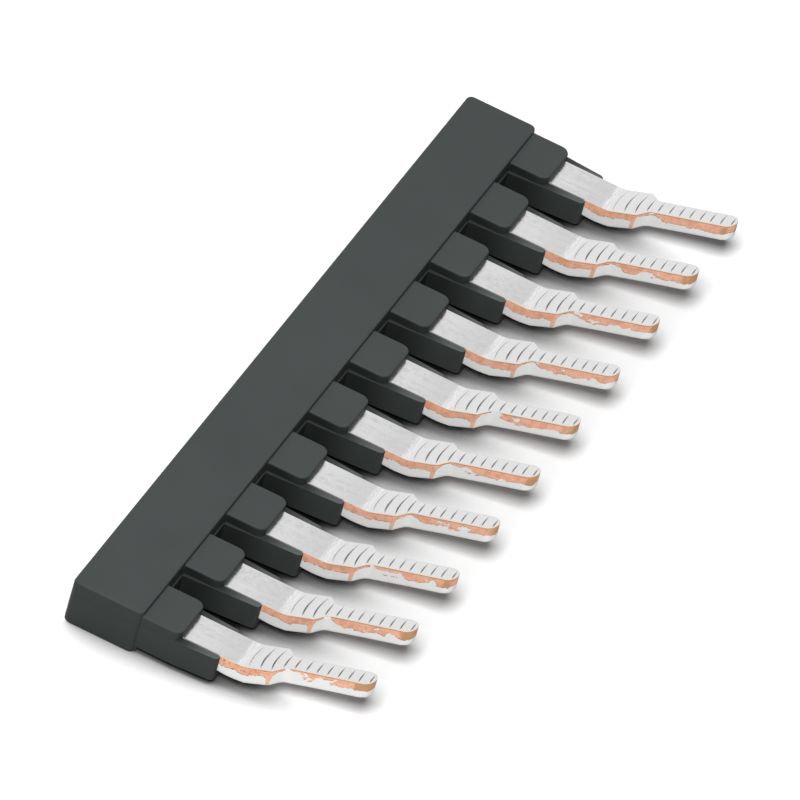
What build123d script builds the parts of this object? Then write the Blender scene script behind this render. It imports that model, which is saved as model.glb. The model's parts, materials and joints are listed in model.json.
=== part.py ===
from build123d import *

import os
from math import cos, radians, sin, sqrt, tan

# Push-in jumper for a row of screw terminals: ten tongues on one common strip,
# with the strip and the roots of the tongues moulded into an insulating bar.
# Millimetres. X runs along the row, the tongues point to -Y, Z is up.
# The origin is the middle of the footprint, on the level of the bar's underside.

# Row
positions = 10
pitch = 6.2

# Stamped comb, measured from the front face of the bar and down from its levels
strip_thickness = 1.2
strip_wall = 0.8
tongue_width = 2.72
tongue_reach = 15.2
bend_reach = 7.0
bend_angle = 20.7
bend_radius = 1.6
bend_run = 2.0
nose_angle = 17.5
nose_length = 6.3
shoulder_slope = 45
shoulder_radius = 0.25
nose_thickness = 1.07
nose_width = 1.4
nose_root_radius = 0.6

# Serrations pressed into the tongue's upper face
groove_first = 7.88
groove_pitch = 0.7
groove_end_margin = 0.3
groove_depth = 0.08
groove_width = 0.14
groove_share = 0.68

# Moulded bar
bar_depth = 5.0
bar_height = 3.37
bar_end_margin = 0.22
bar_corner_radius = 0.52
bar_top_radius = 0.25
bar_foot_chamfer = 0.12

# Mould parting line: the lower mould half stands a little proud at the front
parting_drop = 0.07
parting_step = 0.1

# Block over the root of each tongue
block_cheek = 0.565
block_reach = 2.7
block_drop = 0.35
block_corner_radius = 0.65
block_edge_chamfer = 0.12
tongue_drop = 0.6

# Trough under each tongue, open at the top and tapering to the front
trough_reach = 5.4
trough_root_wall = 0.77
trough_front_wall = 0.35
trough_lift = 0.42
trough_corner_radius = 0.35
trough_toe_radius = 0.25

# Levels above the underside
block_top = bar_height - block_drop
tongue_top = block_top - tongue_drop
tongue_foot = tongue_top - strip_thickness
parting = tongue_top - parting_drop

# Plan
block_width = tongue_width + 2 * block_cheek
trough_root_width = tongue_width + 2 * trough_root_wall
trough_front_width = tongue_width + 2 * trough_front_wall
row_length = (positions - 1) * pitch
bar_length = row_length + block_width + 2 * bar_end_margin
front = (tongue_reach - bar_depth) / 2
back = front + bar_depth
strip_length = bar_length - 2 * strip_wall
strip_front = front + strip_wall
strip_back = back - strip_wall
strip_middle = (strip_front + strip_back) / 2

# Key points of the tongue's upper face, as (Y, Z)
bend_point = (front - bend_reach, tongue_top)
nose_reach = bend_reach + bend_run
nose_point = (front - nose_reach, tongue_top + bend_run * tan(radians(bend_angle)))
tip_run = tongue_reach - nose_reach
tip_point = (front - tongue_reach, nose_point[1] + tip_run * tan(radians(nose_angle)))

# Plan of the shoulders and the round tip
shoulder_reach = tongue_reach - nose_length
shoulder_run = (tongue_width - nose_width) / 2 / tan(radians(shoulder_slope))
round_reach = tongue_reach - nose_width / 2
tip_centre = front - round_reach


def level_of_face(reach):
    """Height of the tongue's upper face at a distance in front of the bar."""
    if reach <= bend_reach:
        return tongue_top
    if reach <= nose_reach:
        return tongue_top + (reach - bend_reach) * tan(radians(bend_angle))
    return nose_point[1] + (reach - nose_reach) * tan(radians(nose_angle))


def half_width_of_face(reach):
    """Half the tongue's width at a distance in front of the bar."""
    if reach < shoulder_reach:
        return tongue_width / 2
    if reach < round_reach:
        return nose_width / 2
    return sqrt((nose_width / 2) ** 2 - (reach - round_reach) ** 2)


# One tongue: the side view gives the bend and the thinner nose, the plan gives
# the shoulders and the round tip.
with BuildPart() as tongue:
    with BuildSketch(Plane.YZ):
        with BuildLine():
            heel = strip_thickness * tan(radians(bend_angle / 2))
            under = (
                nose_thickness * sin(radians(nose_angle)),
                nose_thickness * cos(radians(nose_angle)),
            )
            end_drop = nose_thickness / cos(radians(nose_angle))
            upper = FilletPolyline(
                (strip_middle, tongue_top),
                bend_point,
                nose_point,
                tip_point,
                radius=bend_radius,
            )
            lower = FilletPolyline(
                (strip_middle, tongue_foot),
                (bend_point[0] - heel, tongue_foot),
                (nose_point[0] - under[0], nose_point[1] - under[1]),
                (tip_point[0], tip_point[1] - end_drop),
                radius=bend_radius + strip_thickness,
            )
            Line(upper @ 0, lower @ 0)
            Line(upper @ 1, lower @ 1)
        make_face()
    extrude(amount=tongue_width / 2, both=True)

    with BuildSketch(Plane.XY):
        with BuildLine():
            Line((0, strip_middle), (tongue_width / 2, strip_middle))
            FilletPolyline(
                (tongue_width / 2, strip_middle),
                (tongue_width / 2, front - shoulder_reach),
                (nose_width / 2, front - shoulder_reach - shoulder_run),
                (nose_width / 2, tip_centre),
                radius=[shoulder_radius, nose_root_radius],
            )
            CenterArc((0, tip_centre), nose_width / 2, start_angle=0, arc_size=-90)
            mirror(about=Plane.YZ)
        make_face()
    extrude(amount=bar_height + tongue_reach, mode=Mode.INTERSECT)

    # Each serration is the track of a V-edged wheel pressed into the face: deepest
    # on the middle line and running out before it meets the sides.
    grooved_length = tongue_reach - groove_end_margin - groove_first
    for index in range(int(grooved_length / groove_pitch) + 1):
        reach = groove_first + index * groove_pitch
        slope = bend_angle if reach < nose_reach else nose_angle
        half_track = groove_share * half_width_of_face(reach)
        wheel = (half_track**2 + groove_depth**2) / (2 * groove_depth)
        face_plane = Plane(
            origin=(0, front - reach, level_of_face(reach)),
            x_dir=(0, -cos(radians(slope)), sin(radians(slope))),
            z_dir=(-1, 0, 0),
        )
        with BuildSketch(face_plane):
            with BuildLine():
                Polyline(
                    (0, -groove_depth),
                    (groove_width, groove_depth),
                    (-groove_width, groove_depth),
                    close=True,
                )
            make_face()
        axle = Axis(
            face_plane.from_local_coords((0, wheel - groove_depth, 0)),
            face_plane.x_dir,
        )
        revolve(axis=axle, mode=Mode.SUBTRACT)

# Comb: the common strip with its tongues, stamped in one piece.
with BuildPart() as contact_comb:
    with BuildSketch(Plane.XY.offset(tongue_foot)):
        with Locations((0, strip_middle)):
            Rectangle(strip_length, strip_back - strip_front)
    extrude(amount=strip_thickness)
    with GridLocations(pitch, 0, positions, 1):
        add(tongue.part)
contact_comb.part.label = "contact_comb"

# One block: it covers the root of a tongue above the parting line.
with BuildPart() as block:
    with BuildSketch(Plane.XY.offset(parting)) as block_plan:
        with Locations((0, front)):
            Rectangle(block_width, 2 * block_reach)
        fillet(block_plan.vertices().group_by(Axis.Y)[0], block_corner_radius)
    extrude(amount=block_top - parting)
    chamfer(faces().sort_by(Axis.Z)[-1].edges(), block_edge_chamfer)

# One trough: it carries the tongue below the parting line, and narrows forward.
# Its side view rounds the toe.
with BuildPart() as trough:
    with BuildSketch(Plane.XY.offset(parting)) as trough_plan:
        with BuildLine():
            Polyline(
                (-trough_root_width / 2, front),
                (-trough_front_width / 2, front - trough_reach),
                (trough_front_width / 2, front - trough_reach),
                (trough_root_width / 2, front),
                (trough_root_width / 2, strip_front),
                (-trough_root_width / 2, strip_front),
                close=True,
            )
        make_face()
        fillet(trough_plan.vertices().group_by(Axis.Y)[0], trough_corner_radius)
    extrude(amount=trough_lift - parting)
    with BuildSketch(Plane.YZ) as trough_side:
        with Locations((front - trough_reach, trough_lift)):
            Rectangle(trough_reach + strip_wall, parting - trough_lift, align=Align.MIN)
        toe = trough_side.vertices().group_by(Axis.X)[0].sort_by(Axis.Y)[0]
        fillet(toe, trough_toe_radius)
    extrude(amount=trough_root_width / 2, both=True, mode=Mode.INTERSECT)

# Row of troughs: the outer sides of the two end ones are flush with their blocks.
with BuildPart() as trough_row:
    with GridLocations(pitch, 0, positions, 1):
        add(trough.part)
    with BuildSketch(Plane.XY.offset(parting)):
        with Locations((0, front)):
            Rectangle(row_length + block_width, 2 * trough_reach)
    extrude(amount=-parting, mode=Mode.INTERSECT)

# Housing: bar, blocks and troughs, moulded around the comb in one piece.
with BuildPart() as housing:
    with BuildSketch(Plane.XY.offset(parting)):
        with Locations((0, (front + back) / 2)):
            RectangleRounded(bar_length, bar_depth, bar_corner_radius)
    extrude(amount=bar_height - parting)
    fillet(faces().sort_by(Axis.Z)[-1].edges(), bar_top_radius)

    with BuildSketch(Plane.XY.offset(parting)):
        with Locations((0, (front + back - parting_step) / 2)):
            RectangleRounded(bar_length, bar_depth + parting_step, bar_corner_radius)
    extrude(amount=-parting)
    chamfer(faces().sort_by(Axis.Z)[0].edges(), bar_foot_chamfer)

    with GridLocations(pitch, 0, positions, 1):
        add(block.part)
    add(trough_row.part)
    add(contact_comb.part, mode=Mode.SUBTRACT)
housing.part.label = "housing"

os.makedirs("parts", exist_ok=True)
export_step(housing.part, "parts/housing.step")
export_step(contact_comb.part, "parts/contact_comb.step")
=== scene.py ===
import json

import bmesh
import bpy
import numpy as np
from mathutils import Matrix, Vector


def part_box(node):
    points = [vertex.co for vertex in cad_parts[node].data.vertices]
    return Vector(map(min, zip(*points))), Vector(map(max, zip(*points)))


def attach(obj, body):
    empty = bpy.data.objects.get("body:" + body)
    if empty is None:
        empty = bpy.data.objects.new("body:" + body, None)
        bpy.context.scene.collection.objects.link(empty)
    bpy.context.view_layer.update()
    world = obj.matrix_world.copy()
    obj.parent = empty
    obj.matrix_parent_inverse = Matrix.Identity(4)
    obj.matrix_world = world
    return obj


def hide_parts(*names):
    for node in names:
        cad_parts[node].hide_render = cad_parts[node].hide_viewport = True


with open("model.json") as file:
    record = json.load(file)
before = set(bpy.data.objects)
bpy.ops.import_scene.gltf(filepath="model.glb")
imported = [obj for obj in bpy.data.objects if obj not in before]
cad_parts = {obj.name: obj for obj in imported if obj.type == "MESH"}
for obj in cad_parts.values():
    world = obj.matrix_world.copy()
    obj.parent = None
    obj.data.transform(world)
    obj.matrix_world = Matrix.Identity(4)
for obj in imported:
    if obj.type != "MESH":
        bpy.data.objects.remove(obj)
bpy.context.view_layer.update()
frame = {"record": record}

# Contact comb. One stamping of tin-plated copper strip: a common strip with ten
# tongues, each bent upwards, coined a little thinner at its nose and pressed with a
# row of serrations. The punch leaves copper bare on the upper part of the cut sides.
MM = 0.001
comb_low, comb_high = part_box("contact_comb")
tongue_places = [
    mount["pos_m"][0] for mount in frame["record"]["mounts"] if mount["name"].startswith("tongue_")
]

BAR_FRONT = 5.1 * MM
STRIP_THICKNESS = 1.2 * MM
NOSE_THICKNESS = 1.07 * MM
STRIP_DEPTH = 3.4 * MM
ROOT_REACH = 0.6 * MM
BEND_REACH = 7.0 * MM
BEND_ANGLE = np.radians(20.7)
BEND_RUN = 2.0 * MM
BEND_TURN = 0.30 * MM
NOSE_ANGLE = np.radians(17.5)
NOSE_TURN = 0.25 * MM
TONGUE_HALF = 1.36 * MM
NOSE_HALF = 0.70 * MM
NOSE_LENGTH = 6.3 * MM
SHOULDER_ANGLE = np.radians(45)
SHOULDER_RADIUS = 0.25 * MM
NOSE_ROOT_RADIUS = 0.6 * MM
TOP_EDGE = 0.05 * MM
LOW_EDGE = 0.12 * MM
SERRATIONS = MM * np.array([
    7.14, 7.88, 8.60, 9.30, 10.0, 10.75, 11.44, 12.13, 12.84, 13.52, 14.2, 14.9,
])
SERRATION_DEPTH = 0.08 * MM
SERRATION_FLANK = 1.3
SERRATION_BOW = 0.12 / MM
SERRATION_WIDTH = 0.96
FIRST_SERRATION = 0.60
PRESSURE = 0.86
PRESSURE_LEAN = 0.28
RIDGE = 0.014 * MM
RIDGE_RUN = 0.35 * MM
UNDERSIDE_PLACES = MM * np.array([5.0, 5.4, 5.95, 6.5, 7.2, 8.0, 8.85, 10.0, 12.0])
UNDERSIDE_SWELL = MM * np.array([0.08, 0.10, 0.15, 0.14, 0.07, 0.10, 0.12, 0.14, 0.10])

TONGUE_REACH = BAR_FRONT - comb_low[1]
STRIP_FOOT = comb_low[2]


def running_sum(function, angle, fine):
    """Running sum along fine steps of a function of the angle at each step's middle."""
    middle = (angle[1:] + angle[:-1]) / 2
    return np.concatenate([[0], np.cumsum(function(middle) * np.diff(fine))])


def tongue_outline(length):
    """Right half of the tongue's plan, as reach, half width and heading at each length
    along the edge. The heading is a straight-line function of length between the ends of
    the arcs, and reach and half width are the running sums of its cosine and sine."""
    tangent = np.tan(SHOULDER_ANGLE / 2)
    slope = (TONGUE_HALF - NOSE_HALF) / np.sin(SHOULDER_ANGLE)
    slope_run = (TONGUE_HALF - NOSE_HALF) / np.tan(SHOULDER_ANGLE)
    runs = [
        TONGUE_REACH - NOSE_LENGTH - SHOULDER_RADIUS * tangent - ROOT_REACH,
        SHOULDER_RADIUS * SHOULDER_ANGLE,
        slope - (SHOULDER_RADIUS + NOSE_ROOT_RADIUS) * tangent,
        NOSE_ROOT_RADIUS * SHOULDER_ANGLE,
        NOSE_LENGTH - slope_run - NOSE_ROOT_RADIUS * tangent - NOSE_HALF,
        NOSE_HALF * np.pi / 2,
    ]
    stations = np.concatenate([[0], np.cumsum(runs)])
    headings = [0, 0, SHOULDER_ANGLE, SHOULDER_ANGLE, 0, 0, np.pi / 2]
    fine = np.linspace(0, stations[-1], 8001)
    heading = np.interp(fine, stations, headings)
    reach = ROOT_REACH + running_sum(np.cos, heading, fine)
    half = TONGUE_HALF - running_sum(np.sin, heading, fine)
    length = np.clip(length, 0, 1) * stations[-1]
    return [np.interp(length, fine, curve) for curve in (reach, half, heading)]


def face_line(reach):
    """Height and slope of the tongue's upper face at each reach. The slope goes from 0 to
    the bend's angle and on to the nose's in two short smooth turns, and the height is the
    running sum of its tangent."""
    fine = np.linspace(0, TONGUE_REACH + MM, 6001)
    turns = np.array([-BEND_TURN, BEND_TURN, BEND_RUN - NOSE_TURN, BEND_RUN + NOSE_TURN])
    slope = np.interp(fine, BEND_REACH + turns, [0, BEND_ANGLE, BEND_ANGLE, NOSE_ANGLE])
    rise = np.interp(reach, fine, running_sum(np.tan, slope, fine))
    return STRIP_FOOT + STRIP_THICKNESS + rise, np.interp(reach, fine, slope)


def girth():
    """Places round the tongue's section, from the right end of its upper face by the left
    side and the underside back to the start: share of the half width, inset from the
    outline, depth in metres and depth as a share of the thickness. Quarter circles round
    the upper and lower edges."""
    across = np.concatenate([[1], np.linspace(0.97, -0.97, 23), [-1]])
    low_across = np.linspace(-1, 1, 7)[1:-1]
    turn = np.radians([30, 60, 90])
    side = np.linspace(0, 1, 7)[1:-1]
    low_turn = np.radians([0, 30, 60, 90])
    inset = np.concatenate([
        TOP_EDGE * (1 - np.sin(turn)),
        0 * side,
        LOW_EDGE * (1 - np.cos(low_turn)),
    ])
    depth = np.concatenate([
        TOP_EDGE * (1 - np.cos(turn)),
        TOP_EDGE * (1 - side) - LOW_EDGE * side,
        -LOW_EDGE * (1 - np.sin(low_turn)),
    ])
    share = np.concatenate([0 * turn, side, 0 * low_turn + 1])
    left = -np.ones(len(inset))
    return (
        np.concatenate([across, left, low_across, -left]),
        np.concatenate([0 * across + TOP_EDGE, inset, 0 * low_across + LOW_EDGE, inset[::-1]]),
        np.concatenate([0 * across, depth, 0 * low_across, depth[::-1]]),
        np.concatenate([0 * across, share, 0 * low_across + 1, share[::-1]]),
    )


def tongue_rows():
    """Lengths along the outline, as shares from 0 to 1, at which the tongue has a ring of
    points: a few on the flat root, more round the bend and the tip, and a close set on
    every serration, found from the crescent's place on the middle line. Rings that would
    nearly touch are dropped."""
    fine = np.linspace(0, 1, 8001)
    reach, half, heading = tongue_outline(fine)
    inner = half - TOP_EDGE * np.cos(heading)
    spine = reach - TOP_EDGE * np.sin(heading) - SERRATION_BOW * inner**2
    offsets = np.array([-0.30, -0.20, -0.12, -0.07, -0.035, 0, 0.035, 0.07, 0.12, 0.20, 0.30]) * MM
    pressed = (SERRATIONS[:, None] + offsets).ravel()
    flat = np.linspace(ROOT_REACH, BEND_REACH - 0.5 * MM, 20)
    bend = np.linspace(BEND_REACH - 0.4 * MM, SERRATIONS[0] - RIDGE_RUN, 3)
    tip = TONGUE_REACH - 0.30 * MM * np.linspace(1, 0, 10) ** 2
    wanted = np.unique(np.concatenate([spine[[0, -1]], flat, bend, pressed, tip]))
    wanted = wanted[(wanted >= spine[0]) & (wanted <= spine[-1])]
    wanted = wanted[np.concatenate([[True], np.diff(wanted) > 0.008 * MM])]
    corner = TONGUE_REACH - NOSE_LENGTH + 0.30 * MM * np.linspace(-0.5, 0.5, 5)
    shoulder = np.interp(corner, reach, fine)
    rows = np.unique(np.concatenate([np.interp(wanted, spine, fine), shoulder, [0, 1]]))
    return rows[np.concatenate([[True], np.diff(rows) > 0.0006])]


def tongue_surface(place):
    """One tongue as a grid of rings by girth places. A point is the outline's point moved
    in along its normal and down from the upper face; a ring bows back towards the root in
    its middle by a share of the across distance squared, which is the serrations' line.
    A serration is a V-shaped track, pressed in a little harder on the left, shallow in
    the first one, and the face between two of them swells by a cosine. The thickness goes
    smoothly from the strip's to the nose's, and the underside swells a little outside the
    trough."""
    reach, half, heading = (curve[:, None] for curve in tongue_outline(tongue_rows()))
    share, inset, depth, depth_share = (places[None, :] for places in girth())
    edge = half - inset * np.cos(heading)
    across = share * edge
    along = reach - inset * np.sin(heading) + SERRATION_BOW * (across**2 - edge**2)
    line = along - SERRATION_BOW * across**2
    upper = (depth_share == 0) & (depth == 0)

    gap = np.abs(line[:, :, None] - SERRATIONS)
    nearest = gap.min(axis=2)
    track = 1 - np.abs(across / (SERRATION_WIDTH * np.maximum(edge, 0.05 * MM))) ** 3
    track = np.clip(track, 0, 1) * upper
    pressure = PRESSURE - PRESSURE_LEAN * across / TONGUE_HALF
    pressure = pressure * np.where(gap.argmin(axis=2) == 0, FIRST_SERRATION, 1)
    notch = np.clip(SERRATION_DEPTH * track * pressure - SERRATION_FLANK * nearest, 0, None)
    pressed_run = np.clip((line - SERRATIONS[0] + RIDGE_RUN) / RIDGE_RUN, 0, 1)
    swell = RIDGE * np.cos(np.clip(nearest / RIDGE_RUN, 0, 1) * np.pi) * track * pressed_run

    level, slope = face_line(along)
    thin = np.clip((along - BEND_REACH) / BEND_RUN, 0, 1)
    thickness = STRIP_THICKNESS + (NOSE_THICKNESS - STRIP_THICKNESS) * thin * thin * (3 - 2 * thin)
    thickness = thickness + np.interp(along, UNDERSIDE_PLACES, UNDERSIDE_SWELL, left=0)
    below = depth + depth_share * thickness + notch + swell
    points = np.stack([place + across, BAR_FRONT - along, level - below / np.cos(slope)], axis=2)

    cut = 1.0 * ((inset < TOP_EDGE) & (np.abs(share) == 1)) * np.ones_like(along)
    lay = np.stack([across, along, depth + depth_share * thickness], axis=2) / MM
    return points, lay, notch / SERRATION_DEPTH, cut


def ring_faces(rings, round_places, first):
    """Quads between neighbouring rings of a closed girth, and one flat face over the
    first ring."""
    here = first + np.arange(rings * round_places).reshape(rings, round_places)
    after = np.roll(here, -1, axis=1)
    quads = np.stack([here[:-1], after[:-1], after[1:], here[1:]], axis=2)
    return quads.reshape(-1, 4).tolist() + [here[0, ::-1].tolist()]


points, lays, presses, cuts, faces = [], [], [], [], []
first = 0
for number, place in enumerate(tongue_places):
    surface, lay, press, cut = tongue_surface(place)
    rings, places = press.shape
    lay = lay + [9.0 * number, 0, 0]
    faces += ring_faces(rings, places, first)
    first += rings * places
    points.append(surface.reshape(-1, 3))
    lays.append(lay.reshape(-1, 3))
    presses.append(press.ravel())
    cuts.append(cut.ravel())

strip_x = comb_high[0] * np.array([-1, 1, 1, -1, -1, 1, 1, -1])
strip_y = comb_high[1] - STRIP_DEPTH * np.array([0, 0, 1, 1, 0, 0, 1, 1])
strip_z = STRIP_FOOT + STRIP_THICKNESS * np.array([1, 1, 1, 1, 0, 0, 0, 0])
points.append(np.stack([strip_x, strip_y, strip_z], axis=1))
lays.append(np.zeros((8, 3)))
presses.append(np.zeros(8))
cuts.append(np.zeros(8))
strip_faces = [(3, 2, 1, 0), (4, 5, 6, 7), (0, 1, 5, 4), (1, 2, 6, 5), (2, 3, 7, 6), (3, 0, 4, 7)]
faces += [[first + corner for corner in face] for face in strip_faces]

comb_mesh = bpy.data.meshes.new("contact_comb_tinned")
comb_mesh.from_pydata(np.concatenate(points).tolist(), [], faces)
for name, kind, field, values in [
    ("lay", "FLOAT_VECTOR", "vector", lays),
    ("pressed", "FLOAT", "value", presses),
    ("cut", "FLOAT", "value", cuts),
]:
    attribute = comb_mesh.attributes.new(name, kind, "POINT")
    attribute.data.foreach_set(field, np.concatenate(values).ravel())
comb_mesh.shade_smooth()
contact_comb = bpy.data.objects.new("contact_comb_tinned", comb_mesh)
bpy.context.scene.collection.objects.link(contact_comb)


def outward(mesh):
    """Closes the seams of a mesh and turns its faces outwards."""
    work = bmesh.new()
    work.from_mesh(mesh)
    bmesh.ops.remove_doubles(work, verts=work.verts, dist=0.0004 * MM)
    bmesh.ops.recalc_face_normals(work, faces=work.faces)
    work.to_mesh(mesh)
    work.free()


outward(comb_mesh)


def coat(tree, kind, inputs, **settings):
    """One layer of a finish: a shader node with its settings, each input a number, a
    colour or an output of a layer below it."""
    node = tree.nodes.new(kind)
    for name, value in settings.items():
        setattr(node, name, value)
    for name, value in inputs.items():
        if isinstance(value, bpy.types.NodeSocket):
            tree.links.new(value, node.inputs[name])
        else:
            node.inputs[name].default_value = value
    return node


def grade(tree, value, start, end, low=0.0, high=1.0):
    """low where value is under start, high where it is over end, and smooth between."""
    inputs = {"Value": value, "From Min": start, "From Max": end, "To Min": low, "To Max": high}
    node = coat(tree, "ShaderNodeMapRange", inputs, interpolation_type="SMOOTHSTEP")
    return node.outputs["Result"]


def reckon(tree, operation, *values):
    """A sum, product or other operation on numbers."""
    inputs = dict(enumerate(values))
    return coat(tree, "ShaderNodeMath", inputs, operation=operation).outputs[0]


def between(tree, share, colour, other):
    """colour at share 0 and other at share 1."""
    inputs = {0: share, 6: colour, 7: other}
    return coat(tree, "ShaderNodeMix", inputs, data_type="RGBA").outputs[2]


def layered(tree, colour, *layers):
    """A colour with others laid over it in turn, each given as its share and itself."""
    for share, other in layers:
        colour = between(tree, share, colour, other)
    return colour


def both(tree, share, other):
    """Where two shares hold together: their product."""
    return reckon(tree, "MULTIPLY", share, other)


def band(tree, value, start, full, fade, end):
    """1 where value is from full to fade, 0 before start and after end, smooth between."""
    return both(tree, grade(tree, value, start, full), grade(tree, value, end, fade))


def grain(tree, place, stretch, size, detail=3.0, rough=0.55):
    """Noise that has size cells to the unit, after stretching the place."""
    moved = coat(tree, "ShaderNodeMapping", {"Vector": place, "Scale": stretch}).outputs["Vector"]
    inputs = {"Vector": moved, "Scale": size, "Detail": detail, "Roughness": rough}
    return coat(tree, "ShaderNodeTexNoise", inputs).outputs[0]


tin = bpy.data.materials.new("tinned_copper")
tin.use_nodes = True
tree = tin.node_tree
shader = tree.nodes["Principled BSDF"]
lay = coat(tree, "ShaderNodeAttribute", {}, attribute_name="lay").outputs["Vector"]
pressed = coat(tree, "ShaderNodeAttribute", {}, attribute_name="pressed").outputs["Fac"]
cut = coat(tree, "ShaderNodeAttribute", {}, attribute_name="cut").outputs["Fac"]
beside, reach, depth = coat(tree, "ShaderNodeSeparateXYZ", {"Vector": lay}).outputs

mottle = grain(tree, lay, (1, 0.8, 1), 2.6, 6.0, 0.62)
flakes = grain(tree, lay, (1, 0.7, 1), 9.0, 2.0)
streaks = grain(tree, lay, (2.2, 0.10, 1), 1.0, 3.0)
creases = grain(tree, lay, (0.7, 7.0, 1), 1.0, 2.0)
scratches = grain(tree, lay, (16, 0.35, 2), 1.0, 2.0)
ragged = grain(tree, lay, (1, 1, 1.4), 5.0, 3.0, 0.6)
wavy = grain(tree, lay, (1, 1, 0.5), 1.1, 2.0)
patches = grain(tree, lay, (0.3, 0.85, 1.2), 1.15, 2.0)

dull_tin_and_shade = (0.58, 0.58, 0.585, 1)
bright_tin = (0.72, 0.72, 0.72, 1)
bend_highlight_tin = (0.79, 0.79, 0.79, 1)
burnished_tin_and_highlight = (0.86, 0.86, 0.86, 1)
smeared_tin = (0.84, 0.845, 0.84, 1)
shaded_tin = (0.22, 0.22, 0.22, 1)
warm_rim = (0.72, 0.58, 0.42, 1)
bare_copper = (0.94, 0.52, 0.365, 1)
deep_copper = (0.78, 0.385, 0.24, 1)
tip_copper = (0.50, 0.27, 0.13, 1)
brown_oxide = (0.30, 0.15, 0.08, 1)
serration_shade = (0.03, 0.03, 0.035, 1)

on_bend = band(tree, reach, 6.35, 6.6, 6.9, 7.1)
bend_marks_and_highlight = grade(tree, reckon(tree, "ADD", creases, flakes), 0.92, 1.14, 0.1, 0.85)
in_serration = reckon(tree, "MINIMUM", reckon(tree, "MULTIPLY", pressed, 1.25), 1.0)
plated = layered(
    tree,
    dull_tin_and_shade,
    (grade(tree, mottle, 0.26, 0.70), bright_tin),
    (grade(tree, streaks, 0.40, 0.60, 0.0, 0.75), bright_tin),
    # painted shade: the flat face goes darker towards the bend
    (grade(tree, reach, 3.2, 6.2, 0.0, 0.55), dull_tin_and_shade),
    # painted highlight: a lighter band across the bend
    (grade(tree, reach, 6.4, 6.9, 0.0, 0.8), bend_highlight_tin),
    (grade(tree, flakes, 0.60, 0.72, 0.0, 0.4), burnished_tin_and_highlight),
    (grade(tree, scratches, 0.64, 0.74, 0.0, 0.7), burnished_tin_and_highlight),
    # the bend's press marks, lightened as a painted highlight
    (both(tree, on_bend, bend_marks_and_highlight), burnished_tin_and_highlight),
    (in_serration, serration_shade),
)

# The border between copper and tin runs at a depth that changes along the tongue.
corner_streak = band(tree, reach, 8.62, 8.72, 8.86, 8.96)
border = grade(tree, reach, 5.6, 8.3, 0.64, 0.56)
for change in [
    grade(tree, reach, 8.75, 9.15, 0.0, -0.36),
    grade(tree, reach, 9.6, 10.9, 0.0, 0.46),
    grade(tree, wavy, 0.3, 0.7, -0.09, 0.09),
    grade(tree, ragged, 0.3, 0.7, -0.03, 0.03),
    corner_streak,
]:
    border = reckon(tree, "ADD", border, change)
patch = both(tree, grade(tree, patches, 0.54, 0.59), band(tree, reach, 9.2, 10.0, 13.6, 14.4))
margin = reckon(tree, "SUBTRACT", border, depth)
margin = reckon(tree, "SUBTRACT", margin, reckon(tree, "MULTIPLY", patch, 0.42))
copper = both(tree, grade(tree, margin, -0.015, 0.015), cut)
copper = both(tree, copper, grade(tree, depth, 0.025, 0.045))
copper = both(tree, copper, grade(tree, reach, 5.30, 5.45))

nearest_tongue = grade(tree, beside, 4.0, 3.0)
rim = grade(tree, depth, 0.06, 0.12, 0.75, 0.0)
flecked = both(tree, nearest_tongue, grade(tree, reach, 8.8, 8.4))
at_tip = both(tree, grade(tree, reach, 14.2, 14.7), grade(tree, wavy, 0.42, 0.58, 0.1, 0.9))
worn_tip = both(tree, nearest_tongue, grade(tree, reach, 14.0, 14.2, 0.0, 0.8))
foot = both(tree, grade(tree, margin, 0.07, 0.02), grade(tree, ragged, 0.42, 0.55, 0.1, 0.9))
metal = layered(
    tree,
    deep_copper,
    (grade(tree, mottle, 0.32, 0.62), bare_copper),
    (both(tree, rim, grade(tree, reach, 6.0, 8.6, 0.2, 1.0)), brown_oxide),
    (grade(tree, flakes, 0.62, 0.72, 0.0, 0.45), brown_oxide),
    (both(tree, flecked, grade(tree, ragged, 0.56, 0.64, 0.0, 0.75)), brown_oxide),
    (reckon(tree, "MAXIMUM", at_tip, worn_tip), tip_copper),
    (both(tree, corner_streak, grade(tree, depth, 0.55, 0.75, 0.0, 0.7)), warm_rim),
    (foot, brown_oxide),
)
side = layered(
    tree,
    shaded_tin,
    (grade(tree, reach, 5.2, 5.5), smeared_tin),
    # a cream line on the upper edge: tin drawn over it, lightened as a painted highlight
    (both(tree, grade(tree, depth, 0.07, 0.02), grade(tree, reach, 5.25, 5.5)), warm_rim),
)
colour = layered(tree, plated, (cut, side), (copper, metal))

tree.links.new(colour, shader.inputs["Base Color"])
tree.links.new(grade(tree, cut, 0.0, 1.0, 1.0, 0.35), shader.inputs["Metallic"])
tin_rough = grade(tree, mottle, 0.3, 0.7, 0.18, 0.28)
rough = reckon(tree, "ADD", tin_rough, reckon(tree, "MULTIPLY", cut, 0.44))
tree.links.new(rough, shader.inputs["Roughness"])
relief = reckon(tree, "MULTIPLY", reckon(tree, "ADD", mottle, scratches), 0.5)
bump = coat(tree, "ShaderNodeBump", {"Height": relief, "Strength": 0.25, "Distance": 0.00004})
tree.links.new(bump.outputs["Normal"], shader.inputs["Normal"])
comb_mesh.materials.append(tin)

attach(contact_comb, "root")
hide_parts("contact_comb")

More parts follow.
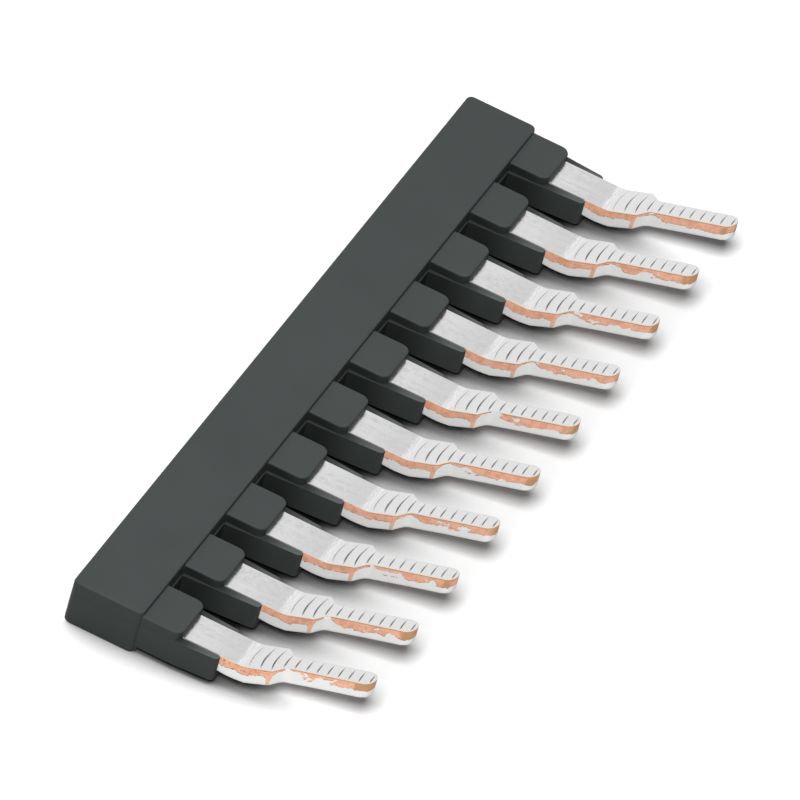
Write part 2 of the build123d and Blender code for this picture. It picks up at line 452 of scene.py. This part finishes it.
# Housing. One moulding of dark grey polyamide around the comb: the bar, and for each
# tongue a block over its root and a trough under it. The mould's lower half stands a
# hair proud along the bar's front, and the walls of the troughs end at the parting line.
BAR_HALF, BAR_BACK, BAR_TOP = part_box("housing")[1]
PARTING = 2.35 * MM
LEDGE = 0.1 * MM
LEDGE_HALF = BAR_HALF - 0.27 * MM
BLOCK_HALF = 1.925 * MM
BLOCK_REACH = 2.7 * MM
BLOCK_TOP = 3.02 * MM
TROUGH_REACH = 5.4 * MM
TROUGH_ROOT_HALF = 2.13 * MM
TROUGH_FRONT_HALF = 1.71 * MM
END_TROUGH_HALF = 1.932 * MM
TROUGH_FOOT = 0.42 * MM
ROOT_DEPTH = 0.9 * MM
ROW_HALF = BLOCK_HALF + max(tongue_places)


def moulded_block(corners, radii, foot, top, foot_edge, top_edge):
    """A block with the plan of a convex polygon, counter-clockwise, its corners rounded
    by their radii and its lower and upper edges by theirs. Round the plan the outward
    normal turns evenly through each corner's arc; up the side the inset from the plan
    and the height follow a quarter circle at each edge. One more ring on each flat face,
    a little further in, keeps its shading flat."""
    corners, radii = np.array(corners), np.array(radii)
    ahead = np.roll(corners, -1, axis=0) - corners
    ahead /= np.linalg.norm(ahead, axis=1)[:, None]
    behind = np.roll(ahead, 1, axis=0)
    start = np.arctan2(-behind[:, 0], behind[:, 1])
    cross = behind[:, 0] * ahead[:, 1] - behind[:, 1] * ahead[:, 0]
    turn = np.arctan2(cross, (behind * ahead).sum(axis=1))
    centre = corners + (ahead - behind) * (radii / np.sin(turn))[:, None]
    angle = start[:, None] + turn[:, None] * np.linspace(0, 1, 9)
    normal = np.stack([np.cos(angle), np.sin(angle)], axis=2)
    plan = (centre[:, None, :] + radii[:, None, None] * normal).reshape(-1, 2)

    quarter = np.radians(np.linspace(0, 90, 6))
    inset = np.concatenate([
        [1.6 * foot_edge],
        foot_edge * (1 - np.sin(quarter)),
        top_edge * (1 - np.cos(quarter)),
        [1.6 * top_edge],
    ])
    height = np.concatenate([
        [foot],
        foot + foot_edge * (1 - np.cos(quarter)),
        top - top_edge * (1 - np.sin(quarter)),
        [top],
    ])
    flat = plan[None, :, :] - inset[:, None, None] * normal.reshape(1, -1, 2)
    level = np.broadcast_to(height[:, None, None], flat.shape[:2] + (1,))
    return np.concatenate([flat, level], axis=2)


def oblong(left, right, near, far):
    """Corners of a rectangle in plan, counter-clockwise."""
    return [(left, near), (right, near), (right, far), (left, far)]


shells = [
    moulded_block(
        oblong(-BAR_HALF, BAR_HALF, BAR_FRONT, BAR_BACK),
        [0.42 * MM] * 4, 0, BAR_TOP, 0.16 * MM, 0.18 * MM,
    ),
    moulded_block(
        oblong(-LEDGE_HALF, LEDGE_HALF, BAR_FRONT - LEDGE, BAR_FRONT + 1.2 * MM),
        [0.1 * MM] * 4, 0.01 * MM, PARTING, 0.14 * MM, 0.05 * MM,
    ),
]

# The outer sides of the two end troughs are flush with their blocks.
taper = TROUGH_REACH / (TROUGH_ROOT_HALF - TROUGH_FRONT_HALF)
far = BAR_FRONT + ROOT_DEPTH
for place in tongue_places:
    left = END_TROUGH_HALF if place == min(tongue_places) else TROUGH_ROOT_HALF
    right = END_TROUGH_HALF if place == max(tongue_places) else TROUGH_ROOT_HALF
    shells.append(moulded_block(
        oblong(place - BLOCK_HALF, place + BLOCK_HALF, BAR_FRONT - BLOCK_REACH, far),
        np.array([0.65, 0.65, 0.2, 0.2]) * MM,
        PARTING - 0.5 * MM, BLOCK_TOP, 0.1 * MM, 0.17 * MM,
    ))
    shells.append(moulded_block(
        [
            (place - TROUGH_FRONT_HALF, BAR_FRONT - TROUGH_REACH),
            (place + TROUGH_FRONT_HALF, BAR_FRONT - TROUGH_REACH),
            (place + right, BAR_FRONT - taper * (TROUGH_ROOT_HALF - right)),
            (place + right, far),
            (place - left, far),
            (place - left, BAR_FRONT - taper * (TROUGH_ROOT_HALF - left)),
        ],
        np.array([0.35, 0.35, 2, 0.2, 0.2, 2]) * MM,
        TROUGH_FOOT, PARTING, 0.1 * MM, 0.07 * MM,
    ))

points, faces = [], []
first = 0
for shell in shells:
    rings, places = shell.shape[:2]
    faces += ring_faces(rings, places, first)
    faces.append(list(range(first + (rings - 1) * places, first + rings * places)))
    points.append(shell.reshape(-1, 3))
    first += rings * places

housing_mesh = bpy.data.meshes.new("housing_moulding")
housing_mesh.from_pydata(np.concatenate(points).tolist(), [], faces)
outward(housing_mesh)
housing_mesh.shade_smooth()
housing = bpy.data.objects.new("housing_moulding", housing_mesh)
bpy.context.scene.collection.objects.link(housing)


def from_front(tree, place):
    """Place along the row, reach in front of the bar and height, all in millimetres."""
    scale, shift = (1 / MM, -1 / MM, 1 / MM), (0, BAR_FRONT / MM, 0)
    inputs = {"Vector": place, "Scale": scale, "Location": shift}
    moved = coat(tree, "ShaderNodeMapping", inputs).outputs["Vector"]
    return coat(tree, "ShaderNodeSeparateXYZ", {"Vector": moved}).outputs


polyamide = bpy.data.materials.new("dark_grey_polyamide")
polyamide.use_nodes = True
tree = polyamide.node_tree
shader = tree.nodes["Principled BSDF"]
coordinates = coat(tree, "ShaderNodeTexCoord", {})
place = coordinates.outputs["Object"]
clouds = grain(tree, place, (1, 1, 1), 180.0, 3.0)
texture = grain(tree, place, (1, 1, 1), 5200.0, 2.0)
beside, reach, height = from_front(tree, place)
normal = coordinates.outputs["Normal"]
facing = coat(tree, "ShaderNodeSeparateXYZ", {"Vector": normal}).outputs["Z"]

top_grey = (0.050, 0.057, 0.056, 1)
cloudy_grey = (0.057, 0.064, 0.063, 1)
shaded_side_grey = (0.0305, 0.0348, 0.0338, 1)
gap_shade_grey = (0.006, 0.007, 0.007, 1)
wall_shade_grey = (0.026, 0.030, 0.029, 1)
wall_end_highlight_grey = (0.094, 0.103, 0.100, 1)

upright = grade(tree, facing, 0.2, 0.9, 1.0, 0.0)
inner = grade(tree, reckon(tree, "ABSOLUTE", beside), ROW_HALF / MM - 0.1, ROW_HALF / MM - 0.3)
# painted shade on the faces in the gaps between the troughs, darkest towards the bar
shaded_gap = both(tree, inner, grade(tree, reach, 4.2, 0.8, 0.0, 0.75))
shaded_gap = both(tree, shaded_gap, grade(tree, reach, -0.1, 0.1))
# painted shade on the walls' tops beside the block, and a painted highlight towards their front
# ends
wall_top_shading = between(tree, grade(tree, reach, 2.7, 4.8), wall_shade_grey, wall_end_highlight_grey)
colour = layered(
    tree,
    top_grey,
    (grade(tree, clouds, 0.3, 0.7), cloudy_grey),
    # painted shade: the upright faces darker than the top faces
    (upright, shaded_side_grey),
    (both(tree, shaded_gap, upright), gap_shade_grey),
    (band(tree, height, 2.26, 2.33, 2.36, 2.40), wall_top_shading),
)
tree.links.new(colour, shader.inputs["Base Color"])
tree.links.new(grade(tree, clouds, 0.3, 0.7, 0.50, 0.58), shader.inputs["Roughness"])
shader.inputs["Specular IOR Level"].default_value = 0.16
bump = coat(tree, "ShaderNodeBump", {"Height": texture, "Strength": 0.20, "Distance": 0.00002})
tree.links.new(bump.outputs["Normal"], shader.inputs["Normal"])
housing_mesh.materials.append(polyamide)

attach(housing, "root")
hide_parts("housing")

# Table. A white sheet under the part, which takes its soft shadow. Shade is painted into its
# colour too: an occlusion term round the part, left out behind the bar, and shade by place,
# deep between the troughs and light under the row of tongues, with none beside the row.
floor_mesh = bpy.data.meshes.new("floor")
floor_mesh.from_pydata([(-2, -2, 0), (2, -2, 0), (2, 2, 0), (-2, 2, 0)], [], [(0, 1, 2, 3)])
floor = bpy.data.objects.new("floor", floor_mesh)
bpy.context.scene.collection.objects.link(floor)


def seen_directly(tree):
    """1 for a ray from the camera, a reflection or a clear body, and 0 for the rest."""
    rays = coat(tree, "ShaderNodeLightPath", {}).outputs
    seen = reckon(tree, "MAXIMUM", rays["Is Camera Ray"], rays["Is Glossy Ray"])
    return reckon(tree, "MAXIMUM", seen, rays["Is Transmission Ray"])


paper = bpy.data.materials.new("white_sheet")
paper.use_nodes = True
tree = paper.node_tree
beside, reach = from_front(tree, coat(tree, "ShaderNodeTexCoord", {}).outputs["Object"])[:2]
row_end = ROW_HALF / MM
bar_depth = (BAR_BACK - BAR_FRONT) / MM
before_back = grade(tree, reach, -3.0, -1.0)
in_row = grade(tree, reckon(tree, "ABSOLUTE", beside), row_end, row_end - 1.0)
trough_gap_shade = both(tree, in_row, grade(tree, reach, 6.1, 4.0, 0.0, 0.93))
trough_gap_shade = both(tree, trough_gap_shade, before_back)
near_row = band(tree, beside, 3.0 - row_end, 7.0 - row_end, row_end - 3.0, row_end)
tongue_row_shade = both(tree, near_row, grade(tree, reach, 18.5, 13.5, 0.0, 0.22))
tongue_row_shade = both(tree, tongue_row_shade, before_back)

deep_shade = (0.10, 0.10, 0.10, 1)
open_white = (1.12, 1.12, 1.12, 1)
bounced_grey = (0.20, 0.20, 0.20, 1)
shadow_black = (0, 0, 0, 1)

hemisphere = coat(tree, "ShaderNodeAmbientOcclusion", {"Distance": 4.2 * MM}, samples=16)
behind_bar = grade(tree, reach, 1.0 - bar_depth, -0.3 - bar_depth)
opening = reckon(tree, "MAXIMUM", hemisphere.outputs["AO"], behind_bar)
# painted shade: the occlusion term, then the shade between the troughs and under the tongues
lit = layered(
    tree,
    deep_shade,
    (grade(tree, opening, 0.26, 0.94), open_white),
    (trough_gap_shade, shadow_black),
    (tongue_row_shade, shadow_black),
)
white = between(tree, seen_directly(tree), bounced_grey, lit)
diffuse = coat(tree, "ShaderNodeBsdfDiffuse", {"Color": white})
tree.links.new(diffuse.outputs["BSDF"], tree.nodes["Material Output"].inputs["Surface"])
floor_mesh.materials.append(paper)

# Light. A large soft box high on the camera's side and a white room. The metal mirrors
# the room alone, because the lamp's own reflection would bleach its level faces.
world = bpy.data.worlds.new("white_room")
bpy.context.scene.world = world
world.use_nodes = True
tree = world.node_tree
background = tree.nodes["Background"]
background.inputs["Color"].default_value = (1, 1, 1, 1)
room = grade(tree, seen_directly(tree), 0.0, 1.0, 0.07, 1.0)
tree.links.new(room, background.inputs["Strength"])

azimuth, elevation = np.radians([190, 49.5])
lamp = bpy.data.lights.new("key_lamp", "AREA")
lamp.size = 0.46
lamp.energy = 42.0
soft_box = bpy.data.objects.new("key_lamp", lamp)
level_way = np.array([np.cos(azimuth), np.sin(azimuth), 0]) * np.cos(elevation)
soft_box.location = 1.80 * (level_way + [0, 0, np.sin(elevation)])
soft_box.rotation_euler = (0, np.pi / 2 - elevation, azimuth)
soft_box.visible_glossy = False
bpy.context.scene.collection.objects.link(soft_box)

# Camera. A long lens from the near end of the row, rolled as the photograph is.
lens = bpy.data.cameras.new("camera")
lens.sensor_width = 36
lens.lens = 944.36
camera = bpy.data.objects.new("camera", lens)
camera.location = (-0.998581, -0.262570, 0.855817)
camera.rotation_euler = np.radians((49.29675, -12.45842, -64.70645))
bpy.context.scene.collection.objects.link(camera)
bpy.context.scene.camera = camera
bpy.context.scene.view_settings.view_transform = "Standard"
